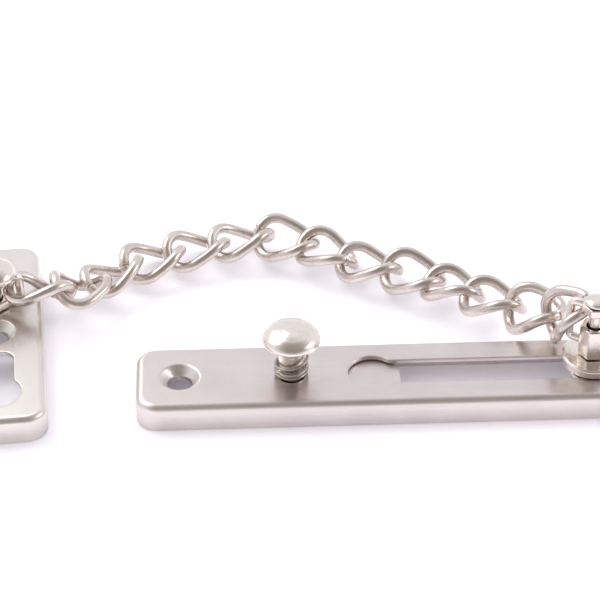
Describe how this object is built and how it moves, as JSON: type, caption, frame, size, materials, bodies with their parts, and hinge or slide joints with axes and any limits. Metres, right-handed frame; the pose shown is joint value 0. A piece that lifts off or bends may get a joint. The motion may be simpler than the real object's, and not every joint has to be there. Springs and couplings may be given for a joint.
{
  "type": "door chain guard",
  "caption": "Door chain guard: keyhole track plate with a press-to-release knob and sliding stud, a twisted-link chain, and an anchor plate.",
  "frame": {"origin": "middle of the track plate's near long rim, on the back that sits on the door", "axes": "+X along the track plate from the knob end to the slider end, +Y across the plate towards the chain, +Z out of the plate's face"},
  "size_m": [0.1584, 0.0662, 0.0222],
  "materials": {
    "satin_plate": "satin nickel, brushed along the plate",
    "turned_nickel": "bright nickel with turning lines",
    "chain_wire": "satin nickel wire",
    "spring_wire": "plain spring wire"
  },
  "bodies": {
    "track": {"track_plate": "satin_plate", "knob_spring": "spring_wire"},
    "knob": {"press_knob": "turned_nickel", "knob_washer": "turned_nickel", "blocking_plate": "satin_plate"},
    "slider": {"slider_stud": "turned_nickel", "slider_foot": "turned_nickel"},
    "slider_eye": {"slider_shackle": "turned_nickel"},
    "chain_link_14": {"link_14": "chain_wire"},
    "chain_link_13": {"link_13": "chain_wire"},
    "chain_link_12": {"link_12": "chain_wire"},
    "chain_link_11": {"link_11": "chain_wire"},
    "chain_link_10": {"link_10": "chain_wire"},
    "chain_link_09": {"link_09": "chain_wire"},
    "chain_link_08": {"link_08": "chain_wire"},
    "chain_link_07": {"link_07": "chain_wire"},
    "chain_link_06": {"link_06": "chain_wire"},
    "chain_link_05": {"link_05": "chain_wire"},
    "chain_link_04": {"link_04": "chain_wire"},
    "chain_link_03": {"link_03": "chain_wire"},
    "chain_link_02": {"link_02": "chain_wire"},
    "chain_link_01": {"link_01": "chain_wire"},
    "anchor_eye": {"anchor_shackle": "turned_nickel"},
    "anchor": {"anchor_plate": "satin_plate", "anchor_stud": "turned_nickel", "anchor_washer": "turned_nickel"}
  },
  "joints": [
    {"name": "knob_press", "type": "slide", "parent": "track", "child": "knob", "axis": [0, 0, -1], "range_m": [0, 0.0022], "deforming": ["knob_spring"]},
    {"name": "slider_slide", "type": "slide", "parent": "track", "child": "slider", "axis": [1, 0, 0], "range_m": [-0.0335, 0.003]},
    {"name": "slider_swivel", "type": "hinge", "parent": "slider", "child": "slider_eye", "pos_m": [0.033, 0.0102, 0.01], "axis": [0, 0, 1], "range_deg": [-70, 2]},
    {"name": "slider_bar", "type": "hinge", "parent": "slider_eye", "child": "chain_link_14", "pos_m": [0.02841, 0.01285, 0.0168], "axis": [0, 0, 1], "range_deg": [-2, 3]},
    {"name": "turn_13", "type": "hinge", "parent": "chain_link_14", "child": "chain_link_13", "pos_m": [0.02581, 0.01968, 0.01101], "axis": [0, 0, 1], "range_deg": [-20, 2]},
    {"name": "lift_12", "type": "hinge", "parent": "chain_link_13", "child": "chain_link_12", "pos_m": [0.01927, 0.02672, 0.00789], "axis": [0.6062, 0.7953, 0], "range_deg": [0, 22]},
    {"name": "turn_11", "type": "hinge", "parent": "chain_link_12", "child": "chain_link_11", "pos_m": [0.01129, 0.03281, 0.0068], "axis": [0, 0, -1], "range_deg": [-20, 20]},
    {"name": "lift_10", "type": "hinge", "parent": "chain_link_11", "child": "chain_link_10", "pos_m": [0.00402, 0.03968, 0.0054], "axis": [0.5176, 0.8556, 0], "range_deg": [0, 22]},
    {"name": "turn_09", "type": "hinge", "parent": "chain_link_10", "child": "chain_link_09", "pos_m": [-0.00461, 0.04491, 0.0049], "axis": [0, 0, 1], "range_deg": [-20, 20]},
    {"name": "lift_08", "type": "hinge", "parent": "chain_link_09", "child": "chain_link_08", "pos_m": [-0.01405, 0.04847, 0.0046], "axis": [0.6062, 0.7953, 0], "range_deg": [0, 22]},
    {"name": "turn_07", "type": "hinge", "parent": "chain_link_08", "child": "chain_link_07", "pos_m": [-0.02207, 0.05459, 0.0052], "axis": [0, 0, -1], "range_deg": [-6, 20]},
    {"name": "lift_06", "type": "hinge", "parent": "chain_link_07", "child": "chain_link_06", "pos_m": [-0.03174, 0.0575, 0.0052], "axis": [-0.1658, 0.9862, 0], "range_deg": [0, 22]},
    {"name": "turn_05", "type": "hinge", "parent": "chain_link_06", "child": "chain_link_05", "pos_m": [-0.04168, 0.05583, 0.00451], "axis": [0, 0, 1], "range_deg": [-20, 20]},
    {"name": "lift_04", "type": "hinge", "parent": "chain_link_05", "child": "chain_link_04", "pos_m": [-0.05146, 0.05332, 0.0043], "axis": [-0.4296, 0.903, 0], "range_deg": [0, 22]},
    {"name": "turn_03", "type": "hinge", "parent": "chain_link_04", "child": "chain_link_03", "pos_m": [-0.06058, 0.04898, 0.0044], "axis": [0, 0, -1], "range_deg": [-20, 20]},
    {"name": "lift_02", "type": "hinge", "parent": "chain_link_03", "child": "chain_link_02", "pos_m": [-0.06836, 0.04254, 0.00479], "axis": [-0.7788, 0.6273, 0], "range_deg": [0, 22]},
    {"name": "turn_01", "type": "hinge", "parent": "chain_link_02", "child": "chain_link_01", "pos_m": [-0.07425, 0.03522, 0.00848], "axis": [0, 0, 1], "range_deg": [-3, 20]},
    {"name": "anchor_bar", "type": "hinge", "parent": "chain_link_01", "child": "anchor_eye", "pos_m": [-0.08338, 0.03499, 0.0098], "axis": [0, 0, 1], "range_deg": [-1.5, 14]},
    {"name": "anchor_swivel", "type": "hinge", "parent": "anchor_eye", "child": "anchor", "pos_m": [-0.08856, 0.03389, 0.01], "axis": [0, 0, 1], "range_deg": [-1.5, 28]}
  ]
}
